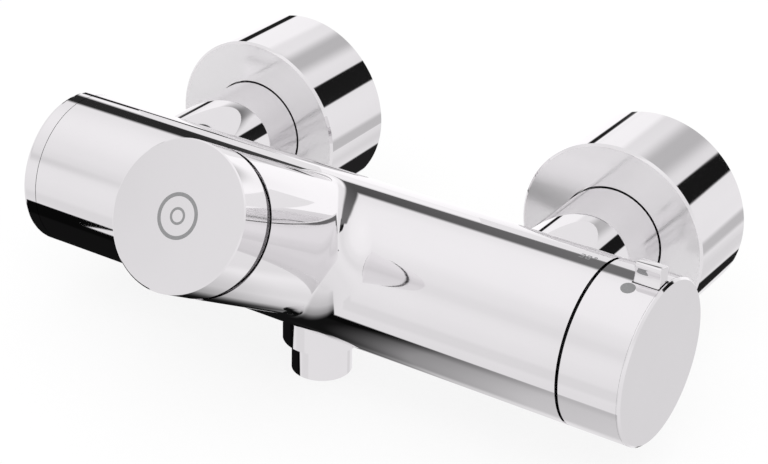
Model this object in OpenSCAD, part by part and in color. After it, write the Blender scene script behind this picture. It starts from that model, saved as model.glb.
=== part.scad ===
// Exposed thermostatic shower valve with a self-closing push button, in millimetres.
// The origin is on the wall plane, midway between the two inlets. +X runs to the user's right,
// +Y into the wall and +Z up. Hot water comes in on the left and cold on the right.

/* [Bar] */
// Diameter of the round bar
bar_d = 55; // [54:0.2:58]
// Centre of the valve to the left end of the bar
bar_left = 103.4; // [100:0.2:112]
// Centre of the valve to the right end of the bar
bar_right = 104.3; // [103:0.1:108]
// Wall to the axis of the bar
wall_to_axis = 96.5; // [92:0.5:110]
// Centre distance of the two inlets
inlet_spacing = 150; // [148:0.5:152]

/* [End cap] */
// Thickness of the cap on the left end
cap_t = 5.9; // [4:0.1:8]
// Rounding of the cap's outer edge
cap_round = 1.5; // [0.5:0.1:2.5]
// Shadow gap between cap and bar
cap_gap = 0.2; // [0.1:0.05:0.4]
// Diameter of the hot water chamber that the cap closes
chamber_d = 34; // [30:0.5:36]
// Depth of that chamber from the end of the bar
chamber_len = 45.4; // [42:0.2:52]
// Length of the threaded plug behind the cap
plug_len = 10; // [8:0.5:14]
// Wall of the threaded plug
plug_wall = 3; // [2:0.2:5]

/* [Rear spigots] */
// Diameter of the two round spigots behind the bar
spigot_d = 38; // [36:0.2:40]
// Wall to the end face of the wide spigot
spigot_at = 26; // [25:0.5:28]
// Diameter of the narrow tail inside the union nut
tail_d = 24.4; // [22:0.2:25]
// Diameter of the collar at the end of the tail
tail_collar_d = 26.2; // [25.8:0.1:26.4]
// Thickness of that collar
tail_collar_t = 2.5; // [1.5:0.1:3]
// Diameter of the water way where the check valve sits
inlet_bore_d = 19; // [17:0.2:20]
// Depth of that water way from the end of the tail
inlet_bore_len = 39.5; // [34:0.5:44]
// Diameter of the water way beyond the check valve
inlet_way_d = 15; // [12:0.5:16]

/* [Push button neck] */
// Angle of the push button above the horizontal
button_tilt = 30; // [20:1:40]
// Diameter of the neck and of the push button
neck_d = 47.4; // [46:0.2:49]
// Axis of the bar to the rim of the neck
neck_h = 73.4; // [70:0.2:80]
// Radius of the blend between neck and bar
blend_r = 10; // [5:0.5:12]
// Diameter of the bore that holds the timing cartridge
neck_bore_d = 42; // [40:0.2:43]
// Diameter of the pressure chamber under the valve seat
pressure_d = 21; // [20:0.2:21.6]
// Axis of the bar to the valve seat
seat_h = 8; // [7.5:0.1:9]
// Axis of the bar to the floor of the pressure chamber
pressure_floor = 7; // [6.5:0.1:7.5]
// Diameter of the outlet chamber above the valve seat
outlet_chamber_d = 34; // [32:0.5:36]
// Height of the outlet chamber
outlet_chamber_h = 8; // [7:0.2:9]

/* [Water ways] */
// Diameter of the hot duct behind the bar's axis
duct_d = 7; // [5:0.5:7.5]
// Axis of the bar to the axis of the hot duct
duct_at = 22; // [21.5:0.1:22.5]
// Diameter of the mixed water way
mixed_d = 12; // [9:0.5:13]
// Thickness of the slanted slot from the outlet chamber to the outlet
outlet_slot_t = 5; // [4:0.2:5.2]
// Distance between the drillings that make the slot
outlet_slot_pitch = 4; // [3:0.2:4.4]

/* [Outlet] */
// Diameter of the boss under the bar
outlet_boss_d = 27.2; // [25:0.2:30]
// Axis of the bar to the end of that boss
outlet_boss_h = 33.5; // [32:0.5:38]
// Outside diameter of the hose thread, half inch
nipple_d = 20.96; // [20:0.02:21]
// Length of the hose thread
nipple_len = 12; // [10:0.5:15]
// Bore of the outlet
nipple_bore_d = 15; // [12:0.2:15.4]
// Outside diameter of the nipple's screwed tail
nipple_tail_d = 18.8; // [18.4:0.1:19.4]
// Length of that tail
nipple_tail_len = 9; // [7:0.5:10]
// Cord thickness of the nipple's seal
nipple_seal_t = 1.2; // [0.8:0.1:1.4]

/* [Rosettes] */
// Diameter of each rosette
rosette_d = 69; // [66:0.5:75]
// Depth of each rosette
rosette_depth = 33; // [31:0.5:40]
// Sheet thickness of the rosettes
rosette_wall = 1.4; // [1:0.1:2]
// Bevel round the rosette's front edge
rosette_bevel = 0.8; // [0.4:0.1:1.2]
// Gap between the rosette and the spigot that it slides on
rosette_gap = 0.4; // [0.3:0.05:0.8]
// Cord thickness of the ring that grips the spigot
grip_t = 1.9; // [1.5:0.1:2.4]
// Wall of the collar that holds the grip ring
grip_collar_wall = 1; // [0.8:0.1:1.5]
// Depth of that collar behind the rosette's face
grip_collar_len = 4.5; // [4:0.1:6]

/* [Wall unions] */
// Outside diameter of the wall thread, half inch
wall_thread_d = 20.96; // [20:0.02:21]
// Length of the wall thread
wall_thread_len = 15; // [12:0.5:20]
// Offset of the wall thread from the spigot's axis
union_offset = 6; // [3:0.5:7]
// Outside diameter of the offset body
union_body_d = 28; // [26:0.5:30]
// Thickness of the offset body
union_body_t = 4.5; // [3.5:0.1:5]
// Outside diameter of the thread in the union nut, three quarter inch
union_thread_d = 26.4; // [26:0.02:26.5]
// Length of that thread
union_thread_len = 10; // [9:0.2:11]
// Bore through the union
union_bore_d = 15; // [12:0.5:15.5]
// Thickness of the sealing washer with its strainer
washer_t = 2; // [1.5:0.1:2.2]
// Width of the union nut across its flats
nut_flats = 30; // [29.5:0.5:32]
// Length of the union nut
nut_len = 16.5; // [15:0.1:16.8]
// Thickness of the nut's inner lip
nut_lip = 2.5; // [2:0.1:3]

/* [Check valves] */
// Length of the check valve's sleeve
check_len = 16; // [15:0.5:20]
// Wall of the sleeve
check_wall = 2; // [1.5:0.1:2.4]
// Thickness of its seat and of its guide
check_web = 2; // [1.5:0.1:2.5]
// Bore of the seat
check_seat_d = 10; // [8:0.2:11]
// Diameter of the poppet
poppet_d = 12.4; // [11.6:0.1:13]
// Thickness of the poppet's head
poppet_t = 2; // [1.5:0.1:2.5]
// Diameter of the poppet's stem
poppet_stem_d = 3.2; // [2.6:0.1:3.6]
// How far the poppet opens
poppet_travel = 3; // [2:0.1:4]

/* [Thermostatic cartridge] */
// Bore in the right end of the bar
cart_bore_d = 34; // [32:0.5:35]
// Cold inlet to the inner end of the cartridge
cart_in = 27; // [26:0.5:30]
// Cold inlet to the outer end of the cartridge
cart_out = 23; // [22:0.5:24]
// Wall of the cartridge's sleeve
cart_wall = 3.4; // [3:0.1:4]
// Thickness of the cartridge's head
cart_head = 5; // [4.4:0.2:6]
// Depth of the head's plug in the sleeve
head_plug = 3; // [2:0.2:3.2]
// Step from the sleeve's bore to the head's plug
head_step = 1.4; // [1:0.1:1.8]
// Thickness of its inner shoulder
cart_shoulder = 2; // [1.5:0.1:3]
// Inner end of the cartridge to the hot ports
hot_port_at = 8; // [7.5:0.1:9]
// Diameter of the ports
port_d = 2; // [1.6:0.1:2.4]
// Number of ports in each row
port_count = 12; // [8:1:16]
// Depth of the channels round the sleeve that lead to the ports
channel_depth = 1.2; // [0.8:0.1:1.6]
// Cord thickness of the cartridge's seals
cart_seal_t = 1.6; // [1.2:0.1:2]
// Wall of the control spool
spool_wall = 2; // [1.5:0.1:2.4]
// Thickness of the spool's web
spool_web = 2; // [1.5:0.1:3]
// Diameter of the wax element
wax_d = 12; // [10:0.2:12.6]
// Length of the wax element inside the mixed water
wax_front = 12.5; // [8:0.5:13]
// Length of the wax element behind its flange
wax_back = 9; // [7:0.5:11]
// Thickness of its flange
wax_flange_t = 1.6; // [1:0.1:2.5]
// Diameter of the wax element's piston
wax_pin_d = 4.4; // [3:0.1:5]
// Length of the threaded follower
follower_len = 6; // [5:0.2:6.6]
// Depth of the thread in the follower
follower_bore = 4; // [3:0.2:4.6]
// Width of the two keys that stop the follower from turning
key_w = 3; // [2:0.2:4]
// Height of the keys
key_h = 1.1; // [0.8:0.1:1.3]
// Length of the keys
key_len = 3.4; // [2:0.2:4]
// Gap between the follower and the spindle's collar
follower_gap = 1.7; // [1.5:0.1:2.5]
// Diameter of the spindle
spindle_d = 10; // [9:0.1:11]
// Diameter of the spindle's collar
spindle_collar_d = 16; // [14:0.5:18]
// Thickness of that collar
spindle_collar_t = 1.2; // [1:0.1:2]
// Outside diameter of the retaining nut's hexagon recess, across the flats
key_flats = 19; // [17:0.5:22]
// Cord thickness of the spindle's seal
spindle_seal_t = 1.6; // [1.2:0.1:2]

/* [Bar nose] */
// Step down from the bar to its nose, inside the handle
nose_step = 5.6; // [5.2:0.1:6.5]
// Length of the nose
nose_len = 2.7; // [2.4:0.1:3.2]
// Depth of the retaining nut below the nose's end
nut_depth = 1; // [0.5:0.1:2]
// Thickness of the stop ring
stop_ring_t = 2.4; // [2:0.1:2.6]
// Wall of the stop ring
stop_ring_wall = 1.8; // [1.4:0.1:2.4]
// Length of the stop lug beyond the nose
stop_lug_len = 3.2; // [2:0.1:3.6]
// Thickness of the stop lug
stop_lug_t = 1.5; // [1:0.1:1.7]
// Arc of the stop lug
stop_lug_arc = 12; // [6:1:30]
// Angle that the handle can still turn before it meets the lug
stop_play = 2; // [1:0.5:5]

/* [Temperature handle] */
// Parting gap between bar and handle
handle_gap = 0.8; // [0.5:0.1:1.2]
// Length of the handle
handle_len = 21.3; // [21:0.1:25]
// Side wall of the handle
handle_wall = 2.8; // [2:0.1:3.2]
// Step in the handle's bore that the hub sits against
handle_step = 0.6; // [0.4:0.1:1]
// Thickness of the cover on the handle's end
cover_t = 1.1; // [0.9:0.1:1.6]
// Wall of the ring behind the cover
cover_wall = 1.6; // [1.2:0.1:2.2]
// Bevel round the cover's edge
handle_bevel = 0.7; // [0.3:0.1:0.8]
// Bevel round its open rim
rim_bevel = 0.3; // [0.1:0.1:0.6]
// Rim of the handle to the hub's disc
hub_at = 6.2; // [6:0.1:7]
// Thickness of the hub's disc
hub_disc_t = 3.5; // [3:0.1:4]
// Diameter of the hub's tube
hub_tube_d = 16; // [14:0.5:18]
// Diameter of the hub's drum
drum_d = 31; // [30:0.5:33]
// Wall of the drum
drum_wall = 2.2; // [1.5:0.1:3]
// Number of teeth on the spindle's spline
spline_teeth = 20; // [12:1:28]
// Diameter over the spline's teeth
spline_d = 9.2; // [8.4:0.1:9.6]
// Height of a spline tooth
spline_tooth = 0.6; // [0.4:0.1:0.9]
// Length of the spline
spline_len = 10.5; // [8:0.1:11]
// Diameter of the hub screw
hub_screw_d = 3.2; // [2.6:0.1:4]
// Diameter of the hub screw's head
hub_head_d = 7; // [6:0.2:8]
// Height of the hub screw's head
hub_head_t = 2.2; // [1.6:0.1:2.4]
// Length of the hub screw in the spindle
hub_screw_len = 8; // [6:0.5:9]
// Web of the hub under the screw's head
hub_web = 1.5; // [1:0.1:2]

/* [Stop button] */
// Rim of the handle to the stop button
stop_at = 11.2; // [11:0.1:12]
// Length of the stop button along the bar
stop_len = 8.7; // [8:0.1:8.7]
// Thickness of the stop button at its foot
stop_w = 6; // [5:0.1:7]
// Offset of the stop button's middle towards the user
stop_off = 1.3; // [0:0.1:2]
// Height of the stop button above the handle
stop_rise = 6.6; // [4:0.1:8]
// Rounding along the stop button's top
stop_round = 1.4; // [0.8:0.1:2]
// Depth of the scooped front and back
stop_scoop = 0.7; // [0.3:0.1:1]
// Depth of the stop button inside the handle, from the handle's surface
stop_depth = 4.3; // [4:0.1:4.6]
// How far the stop button is pressed
stop_press = 2.2; // [1.8:0.1:2.3]
// Width of the pawl under the handle's wall
pawl_w = 4; // [3:0.1:4.6]
// Thickness of the pawl
pawl_t = 1.6; // [1.2:0.1:1.8]
// Mean diameter of the stop button's spring
stop_spring_d = 3.4; // [2.8:0.1:4]

/* [Push button] */
// Height of the push button's side
button_h = 12.5; // [10:0.1:14]
// Parting gap between push button and neck
button_gap = 2.6; // [2.5:0.1:3.6]
// How far the push button is pressed
button_press = 2; // [1.5:0.1:2.2]
// Thickness of the push button's face
button_face_t = 2.5; // [2:0.1:3]
// Side wall of the push button
button_wall = 1.6; // [1.2:0.1:2]
// Bevel round the push button's face
button_bevel = 0.4; // [0.2:0.1:0.8]
// Bore of the guide sleeve
guide_bore_d = 36; // [32:0.5:38]
// Diameter of the button's stem
stem_d = 6; // [5:0.2:7]
// Diameter of the stem's threaded end
stem_end_d = 4; // [3:0.2:4.6]
// Length of the stem's threaded end
stem_end_len = 5; // [4:0.2:5.6]
// Diameter of the stem's head
stem_head_d = 16; // [12:0.5:20]
// Thickness of the stem's head
stem_head_t = 2; // [1.5:0.1:3]

/* [Timing cartridge] */
// Length of the timing cartridge
timing_len = 38.5; // [37:0.5:40]
// Wall of the timing cartridge
timing_wall = 5; // [4:0.1:6]
// Thickness of its cover
timing_cover = 5; // [4:0.2:6]
// Cord thickness of its seals
timing_seal_t = 1.7; // [1.3:0.1:2]
// Cord thickness of the stem's seal
stem_seal_t = 1.5; // [1.2:0.1:1.8]
// Outside diameter of the valve seat
seat_d = 26; // [25:0.2:27]
// Thickness of the valve seat
seat_t = 3; // [2.4:0.1:3.4]
// Bore of the valve seat
seat_bore_d = 14; // [13:0.2:15]
// Outside diameter of the valve washer
valve_washer_d = 18.4; // [17.6:0.2:18.8]
// Thickness of the valve washer
valve_washer_t = 2.3; // [2:0.1:2.8]
// Diameter of the threaded disc that carries the valve washer
valve_disc_d = 17.2; // [16:0.2:17.6]
// Thickness of that disc
valve_disc_t = 2.2; // [1.6:0.1:2.6]
// Valve seat to the piston's head
piston_at = 34; // [33:0.2:36]
// Thickness of the piston's head
piston_t = 6; // [5:0.2:7]
// Depth of the piston's skirt
piston_skirt = 12; // [8:0.5:14]
// Wall of the skirt
piston_wall = 2.2; // [1.6:0.1:2.6]
// Diameter of the piston's rod
piston_rod_d = 8; // [7:0.2:9]
// How far the rod stands out of the threaded disc
rod_end = 0.8; // [0.4:0.1:1.2]
// Cord thickness of the piston's seal
piston_seal_t = 2; // [1.6:0.1:2.4]
// Bleed hole through the piston's head
bleed_d = 1.2; // [0.8:0.1:1.6]
// Mean diameter of the timing spring
timing_spring_d = 22; // [20:0.2:23]

/* [Fits] */
// Gap between pieces that are screwed or pushed together
seat_gap = 0.05; // [0.03:0.01:0.08]
// Gap round a shaft, spool or piston that runs in its bore
run_gap = 0.08; // [0.05:0.01:0.1]
// Gap between moving pieces that don't guide each other
free_gap = 0.3; // [0.25:0.05:0.4]

/* [Hidden] */
$fn = 96;

// Every cut runs past the solid by this much
over = 1;
// Facets round a spring wire, and rings to each turn of a spring
wire_sides = 6;
cord_sides = 24;
turn_rings = 10;
// Sides of a hexagon, and its corner radius as a share of its half width
hex_sides = 6;
hex_corner_share = 1 / cos(180 / hex_sides);
// Places round the blend, and steps across it
blend_places = 72;
blend_steps = 8;
// The blend starts this far inside the neck and the bar, so that they meet as one
blend_sink = 0.12;
// The blend's hidden inner edge lies this far under both surfaces
blend_depth = 3;

bar_r = bar_d / 2;
neck_r = neck_d / 2;
spigot_r = spigot_d / 2;

// Distances from the wall into the room along an inlet
union_end = union_body_t + union_thread_len;
tail_end = union_end + washer_t;
nut_front = tail_end + tail_collar_t + nut_lip + seat_gap;
nut_back = nut_front - nut_len;
inlet_stop = tail_end + inlet_bore_len;
check_back = inlet_stop - check_len;
check_guide = inlet_stop - check_web;
check_r = inlet_bore_d / 2 - seat_gap;
check_inner_r = check_r - check_wall;
poppet_back = check_back + check_web + seat_gap;
poppet_front = poppet_back + poppet_t;
check_wire = 0.8;
check_spring_turns = 5;
check_hole_d = 2.6;
check_holes = 5;
strainer_hole_d = 1.6;
strainer_pitch = 2.4;
strainer_rings = 2;

// Places along the bar
inlet_x = inlet_spacing / 2;
cold_port_x = inlet_x;
cart_x0 = cold_port_x - cart_in;
cart_x1 = cold_port_x + cart_out;
hot_port_x = cart_x0 + hot_port_at;
head_x = cart_x1 - cart_head;
nose_x = bar_right + nose_len;
nose_r = bar_r - nose_step;
handle_x0 = bar_right + handle_gap;
handle_x1 = handle_x0 + handle_len;
cover_x = handle_x1 - cover_t;
chamber_x = -bar_left + chamber_len;
cap_x = -bar_left - cap_gap;

// The cartridge and what slides in it
cart_r = cart_bore_d / 2 - seat_gap;
cart_inner_r = cart_r - cart_wall;
cart_seal_mean = cart_r - cart_seal_t / 2;
seal_room_share = 1.2;
// The spool's ends stand midway across the ports, so that half a port's width shuts either row
spool_mid = (hot_port_x + cold_port_x) / 2;
spool_half = (cold_port_x - hot_port_x) / 2;
channel_spare = 1;
hot_channel = duct_d + channel_spare;
cold_channel = inlet_way_d - channel_spare;
cart_seal_x = [
    cart_x0 + (hot_port_at - hot_channel / 2) / 2,
    spool_mid,
    cold_port_x + cold_channel / 2 + cart_seal_t * seal_room_share
];
spool_r = cart_inner_r - run_gap;
spool_inner_r = spool_r - spool_wall;
web_x0 = spool_mid - spool_web / 2;
web_x1 = spool_mid + spool_web / 2;
web_hole_d = 2.4;
web_holes = 8;
wax_r = wax_d / 2;
wax_flange_rim = 1.6;
wax_flange_r = wax_r + wax_flange_rim;
collar_x1 = head_x - run_gap;
collar_x0 = collar_x1 - spindle_collar_t;
follower_x1 = collar_x0 - follower_gap;
follower_x0 = follower_x1 - follower_len;
key_x = follower_x1 - key_len;
keyway_x = key_x - port_d / 2 - free_gap;
keyway_r = cart_inner_r + key_h + seat_gap;
head_plug_r = cart_inner_r + head_step;
shoulder_room = 1;
shoulder_hole_r = wax_r + shoulder_room;
return_wire = 1.1;
return_spring_r = wax_flange_r + 2 * seat_gap;
return_turns = 5;
element_wire = 1;
element_spring_r = wax_r + element_wire;
element_turns = 6;
spindle_r = spindle_d / 2;
spindle_clear = 0.4;
spindle_seal_x = head_x + cart_head / 2;
port_phase_share = 0.5;

// The hub, its screw and the spline
hub_x0 = handle_x0 + hub_at;
hub_x1 = hub_x0 + hub_disc_t;
handle_inner_r = bar_r - handle_wall;
handle_bore_r = handle_inner_r + handle_step;
hub_disc_r = handle_bore_r - seat_gap;
drum_x1 = cover_x - 2 * free_gap;
spline_x1 = drum_x1 - hub_head_t - hub_web - free_gap;
spline_x0 = spline_x1 - spline_len;
hub_web_x = spline_x1 + seat_gap;
hub_head_x = hub_web_x + hub_web + seat_gap;
key_share = 0.5;
spline_shares = [0.1, 0.25, 0.5, 0.65];
key_depth_share = 0.55;

// The stop button, its slot and the lug that it meets
stop_x0 = handle_x0 + stop_at;
stop_x1 = stop_x0 + stop_len;
stop_y0 = -wall_to_axis - stop_off - stop_w / 2;
stop_y1 = stop_y0 + stop_w;
stop_top = bar_r + stop_rise;
stop_bottom = bar_r - stop_depth;
slot_bottom = stop_bottom - stop_press - free_gap;
pawl_x0 = nose_x + free_gap;
pawl_edge = stop_off + pawl_w / 2;
pawl_top = sqrt(pow(handle_inner_r, 2) - pow(pawl_edge, 2)) - free_gap;
pawl_bottom = pawl_top - pawl_t;
lug_outer = handle_inner_r - free_gap;
lug_inner = lug_outer - stop_lug_t;
lug_start = asin((pawl_edge + free_gap) / pawl_bottom) + stop_play;
scoop_points = 8;
cap_seal_share = 0.6;
stop_wire = 0.6;
stop_turns = 4;

// Heights above the bar's axis, along the neck
seat_top = seat_h + seat_t;
ledge_h = seat_top + outlet_chamber_h;
timing_top = ledge_h + timing_len;
timing_ceiling = timing_top - timing_cover;
timing_r = neck_bore_d / 2 - seat_gap;
timing_inner_r = timing_r - timing_wall;
button_rim = neck_h + button_gap;
button_top = button_rim + button_h;
button_floor = button_top - button_face_t;
button_inner_r = neck_r - button_wall;
guide_r = button_inner_r - free_gap;
guide_top = button_floor - button_press - free_gap;
stem_r = stem_d / 2;
rod_r = piston_rod_d / 2;
piston_head = seat_h + piston_at;
piston_top = piston_head + piston_t;
piston_r = timing_inner_r - run_gap;
washer_h1 = seat_h - seat_gap;
washer_h0 = washer_h1 - valve_washer_t;
disc_h0 = washer_h0 - valve_disc_t;
rod_h0 = disc_h0 - rod_end;
timing_seal_share = 0.25;
timing_seal_h = [ledge_h + timing_len * timing_seal_share, timing_ceiling];
stem_seal_h = timing_top - timing_cover / 2;
stem_seal_mean = stem_r + run_gap + stem_seal_t / 2;
piston_seal_h = piston_head + piston_t / 2;
timing_wire = 1.6;
timing_turns = 6;

// The slanted slot from the outlet chamber down to the outlet
duct_reach_share = 1.5;
outlet_way_top = 18;
outlet_slot_low = 24;
outlet_slot_room = 0.2;
outlet_slot_out = seat_d / 2 + outlet_slot_t / 2 + outlet_slot_room;
outlet_slot_reach_share = 1.25;

chrome = [0.86, 0.87, 0.89];
brass = [0.80, 0.66, 0.36];
steel = [0.66, 0.67, 0.70];
rubber = [0.12, 0.12, 0.13];
plastic = [0.88, 0.88, 0.85];
dark_plastic = [0.22, 0.23, 0.25];

// Frames of reference: along the bar, up the neck, out of an inlet and down the outlet

module on_bar(x = 0) {
    translate([x, -wall_to_axis, 0]) rotate([0, 90, 0]) children();
}

module on_neck(h = 0) {
    translate([0, -wall_to_axis, 0]) rotate([90 - button_tilt, 0, 0]) translate([0, 0, h]) children();
}

module on_inlet(side, h = 0) {
    translate([side * inlet_x, 0, 0]) rotate([90, 0, 0]) translate([0, 0, h]) children();
}

module on_outlet(h = 0) {
    translate([0, -wall_to_axis, 0]) rotate([180, 0, 0]) translate([0, 0, h]) children();
}

// Shapes that repeat

module tube(outer_r, inner_r, h) {
    difference() {
        cylinder(r = outer_r, h = h);
        translate([0, 0, -over]) cylinder(r = inner_r, h = h + 2 * over);
    }
}

module hexagon(flats, h) {
    cylinder(r = flats / 2 * hex_corner_share, h = h, $fn = hex_sides);
}

// A seal of round cord that lies round its own axis
module cord_ring(mean_r, cord) {
    rotate_extrude() translate([mean_r, 0]) circle(d = cord, $fn = cord_sides);
}

// A groove for such a seal, cut into a shaft of radius r
module cord_groove(r, cord) {
    translate([0, 0, -cord / 2 - seat_gap]) tube(r + over, r - cord - seat_gap, cord + 2 * seat_gap);
}

// One place on a coil spring: f runs from 0 to 1 along the wire, s round it
function coil_point(mean_r, wire, length, turns, f, s) =
    let (a = 360 * turns * f, rr = mean_r + wire / 2 * cos(s))
    [rr * cos(a), rr * sin(a), wire / 2 + (length - wire) * f + wire / 2 * sin(s)];

// A coil spring of one unbroken wire, standing on its own axis
module coil(mean_r, wire, length, turns) {
    rings = turns * turn_rings;
    points = [
        for (i = [0:rings]) for (k = [0:wire_sides - 1])
            coil_point(mean_r, wire, length, turns, i / rings, 360 * k / wire_sides)
    ];
    sides = [
        for (i = [0:rings - 1]) for (k = [0:wire_sides - 1])
            let (a = i * wire_sides + k, b = i * wire_sides + (k + 1) % wire_sides)
            each [[a, b, a + wire_sides], [b, b + wire_sides, a + wire_sides]]
    ];
    first = [for (k = [1:wire_sides - 2]) [0, k + 1, k]];
    last = [for (k = [1:wire_sides - 2]) [rings * wire_sides, rings * wire_sides + k, rings * wire_sides + k + 1]];
    polyhedron(points, concat(sides, first, last));
}

// The blend between neck and bar is the path of a ball that rolls round the neck and touches both.
// All its places are in the neck's frame, at angle t round the neck.

function ball_centre(t, r) =
    let (a = neck_r + r - blend_sink, w = a * sin(t), b = bar_r + r - blend_sink)
    [a * cos(t), w, sqrt(b * b - w * w)];

function blend_point(t, r, f) =
    let (
        c = ball_centre(t, r),
        to_neck = [-cos(t), -sin(t), 0],
        to_bar = -[0, c[1], c[2]] / norm([c[1], c[2]]),
        whole = acos(to_neck * to_bar)
    )
    c + r * (sin((1 - f) * whole) * to_neck + sin(f * whole) * to_bar) / sin(whole);

function blend_root(t) =
    let (a = neck_r - blend_depth, b = bar_r - blend_depth, w = a * sin(t))
    [a * cos(t), w, sqrt(b * b - w * w)];

module neck_blend() {
    ring = blend_steps + 2;
    points = [
        for (i = [0:blend_places - 1])
            let (t = 360 * i / blend_places)
            each concat(
                [for (j = [0:blend_steps]) blend_point(t, blend_r, j / blend_steps)],
                [blend_root(t)]
            )
    ];
    faces = [
        for (i = [0:blend_places - 1]) for (j = [0:ring - 1])
            let (
                a = i * ring + j,
                b = i * ring + (j + 1) % ring,
                c = (i + 1) % blend_places * ring + j,
                d = (i + 1) % blend_places * ring + (j + 1) % ring
            )
            each [[a, c, b], [b, c, d]]
    ];
    polyhedron(points, faces);
}

// The valve's body, one casting

module spigot(side) {
    on_inlet(side, spigot_at) cylinder(r = spigot_r, h = wall_to_axis - spigot_at);
    on_inlet(side, tail_end) cylinder(d = tail_d, h = spigot_at - tail_end + over);
    on_inlet(side, tail_end) cylinder(d = tail_collar_d, h = tail_collar_t);
}

module inlet_ways(side) {
    on_inlet(side, tail_end - over) cylinder(d = inlet_bore_d, h = inlet_bore_len + over);
    on_inlet(side, tail_end) cylinder(d = inlet_way_d, h = wall_to_axis - tail_end - mixed_d / 2);
}

module hot_duct() {
    y = duct_at;
    length = hot_port_x - chamber_x + duct_d * duct_reach_share;
    translate([0, y, 0]) on_bar(chamber_x - duct_d) cylinder(d = duct_d, h = length);
    for (x = [chamber_x - duct_d / 2, hot_port_x])
        translate([x, -wall_to_axis, 0]) rotate([-90, 0, 0]) cylinder(d = duct_d, h = y);
}

module valve_body() {
    color(chrome) difference() {
        union() {
            on_bar(-bar_left) cylinder(r = bar_r, h = bar_left + bar_right);
            on_bar(0) cylinder(r = nose_r, h = nose_x);
            on_neck() cylinder(r = neck_r, h = neck_h);
            on_neck() neck_blend();
            on_outlet() cylinder(d = outlet_boss_d, h = outlet_boss_h);
            spigot(-1);
            spigot(1);
        }
        on_bar(-bar_left - over) cylinder(d = chamber_d, h = chamber_len + over);
        on_bar(cart_x0) cylinder(d = cart_bore_d, h = nose_x - cart_x0 + over);
        on_bar(pressure_d / 4) cylinder(d = mixed_d, h = cart_x0);
        inlet_ways(-1);
        inlet_ways(1);
        hot_duct();
        on_neck(-pressure_floor) cylinder(d = pressure_d, h = pressure_floor + seat_h + over);
        on_neck(seat_h) cylinder(d = seat_d + 2 * seat_gap, h = seat_t + over);
        on_neck(seat_top) cylinder(d = outlet_chamber_d, h = outlet_chamber_h + over);
        on_neck(ledge_h) cylinder(d = neck_bore_d, h = neck_h);
        on_outlet(outlet_way_top) cylinder(d = nipple_bore_d, h = outlet_boss_h);
        on_outlet(outlet_boss_h - nipple_tail_len - free_gap)
            cylinder(d = nipple_tail_d + 2 * seat_gap, h = nipple_tail_len + over);
        outlet_slot();
    }
}

// Drillings side by side, from the outlet's bore up into the front of the outlet chamber
module outlet_slot() {
    y = -cos(button_tilt) * seat_top - sin(button_tilt) * outlet_slot_out;
    z = sin(button_tilt) * seat_top - cos(button_tilt) * outlet_slot_out;
    low = [0, -nipple_bore_d / 4, -outlet_slot_low];
    run = [0, y, z] - low;
    for (side = [-1, 0, 1])
        translate([side * outlet_slot_pitch, -wall_to_axis, 0]) translate(low)
            rotate([90 - atan2(run[2], -run[1]), 0, 0])
                cylinder(d = outlet_slot_t, h = norm(run) * outlet_slot_reach_share);
}

module end_cap() {
    plug_r = chamber_d / 2 - seat_gap;
    seal_at = plug_len * cap_seal_share;
    color(chrome) difference() {
        union() {
            on_bar(cap_x) mirror([0, 0, 1]) rotate_extrude() polygon(concat(
                [[0, 0], [bar_r, 0]],
                [for (a = [0:15:90]) [bar_r - cap_round * (1 - cos(a)), cap_t - cap_round * (1 - sin(a))]],
                [[0, cap_t]]
            ));
            on_bar(cap_x - over) cylinder(r = plug_r, h = cap_gap + plug_len + over);
        }
        on_bar(cap_x) cylinder(r = plug_r - plug_wall - cart_seal_t, h = cap_gap + plug_len + over);
        on_bar(cap_x + cap_gap + seal_at) cord_groove(plug_r, cart_seal_t);
    }
}

module end_cap_seal() {
    plug_r = chamber_d / 2 - seat_gap;
    color(rubber) on_bar(cap_x + cap_gap + plug_len * cap_seal_share) cord_ring(plug_r - cart_seal_t / 2, cart_seal_t);
}

// The outlet

module outlet_nipple() {
    tail_at = outlet_boss_h - nipple_tail_len;
    seal_at = outlet_boss_h - nipple_tail_len / 2;
    color(chrome) difference() {
        union() {
            on_outlet(outlet_boss_h) cylinder(d = nipple_d, h = nipple_len);
            on_outlet(tail_at) cylinder(d = nipple_tail_d, h = nipple_tail_len + over);
        }
        on_outlet(tail_at - over) cylinder(d = nipple_bore_d, h = nipple_tail_len + nipple_len + 2 * over);
        on_outlet(seal_at) cord_groove(nipple_tail_d / 2, nipple_seal_t);
    }
}

module outlet_seal() {
    color(rubber) on_outlet(outlet_boss_h - nipple_tail_len / 2)
        cord_ring(nipple_tail_d / 2 - nipple_seal_t / 2, nipple_seal_t);
}

// Rosettes, wall unions and union nuts, the same on both sides

module rosette(side) {
    hole_r = spigot_r + rosette_gap;
    outer_r = rosette_d / 2;
    inner_r = outer_r - rosette_wall;
    face = rosette_depth - rosette_wall;
    grip_r = spigot_r + grip_t + 2 * seat_gap;
    color(chrome) on_inlet(side) rotate_extrude() polygon([
        [inner_r, 0], [outer_r, 0], [outer_r, rosette_depth - rosette_bevel],
        [outer_r - rosette_bevel, rosette_depth], [hole_r, rosette_depth], [hole_r, face],
        [grip_r, face], [grip_r, face - grip_collar_len],
        [grip_r + grip_collar_wall, face - grip_collar_len], [grip_r + grip_collar_wall, face],
        [inner_r, face]
    ]);
}

module grip_ring(side) {
    h = rosette_depth - rosette_wall - grip_t / 2 - seat_gap;
    color(rubber) on_inlet(side, h) cord_ring(spigot_r + grip_t / 2 + seat_gap, grip_t);
}

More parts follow.
